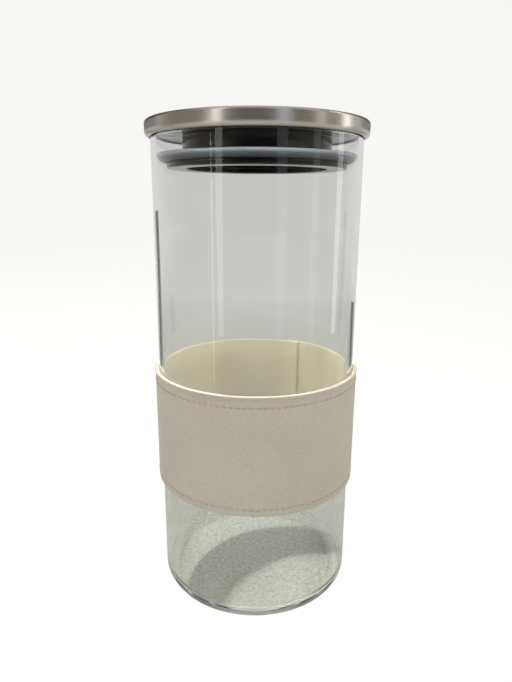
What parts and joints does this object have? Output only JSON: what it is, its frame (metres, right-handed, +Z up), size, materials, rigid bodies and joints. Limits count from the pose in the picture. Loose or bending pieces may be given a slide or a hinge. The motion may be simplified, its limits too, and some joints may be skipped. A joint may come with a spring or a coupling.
{
  "type": "lidded glass canister",
  "caption": "Tall straight glass storage jar with a push-in steel lid on a silicone lip seal, and a stitched leathercloth grip sleeve that slides on the glass.",
  "frame": {"origin": "centre of the jar's base, on the surface the jar stands on", "axes": "+Z up the jar's axis towards the lid; +Y towards the back, near the sleeve's lap seam; +X to the right of someone facing the front"},
  "size_m": [0.1052, 0.1052, 0.2356],
  "materials": {
    "glass": "clear polished borosilicate",
    "steel": "brushed round the axis",
    "filler_foam": "closed-cell foam",
    "black_plastic": "gloss moulded",
    "silicone": "translucent satin",
    "leathercloth": "fine grain, satin",
    "lining": "matt",
    "thread": "twisted polyester"
  },
  "bodies": {
    "jar": {"glass_jar": "glass"},
    "lid": {"lid_cover": "steel", "lid_filler_disc": "filler_foam", "lid_plug": "black_plastic", "seal_ring": "silicone", "retaining_ring": "black_plastic"},
    "sleeve": {"sleeve_face": "leathercloth", "sleeve_lining": "lining", "stitches_top": "thread", "stitches_bottom": "thread", "stitches_seam": "thread"}
  },
  "joints": [
    {"name": "lid_lift", "type": "slide", "parent": "jar", "child": "lid", "axis": [0, 0, 1], "range_m": [0, 0.08]},
    {"name": "sleeve_slide", "type": "slide", "parent": "jar", "child": "sleeve", "axis": [0, 0, 1], "range_m": [-0.053, 0.108]}
  ]
}
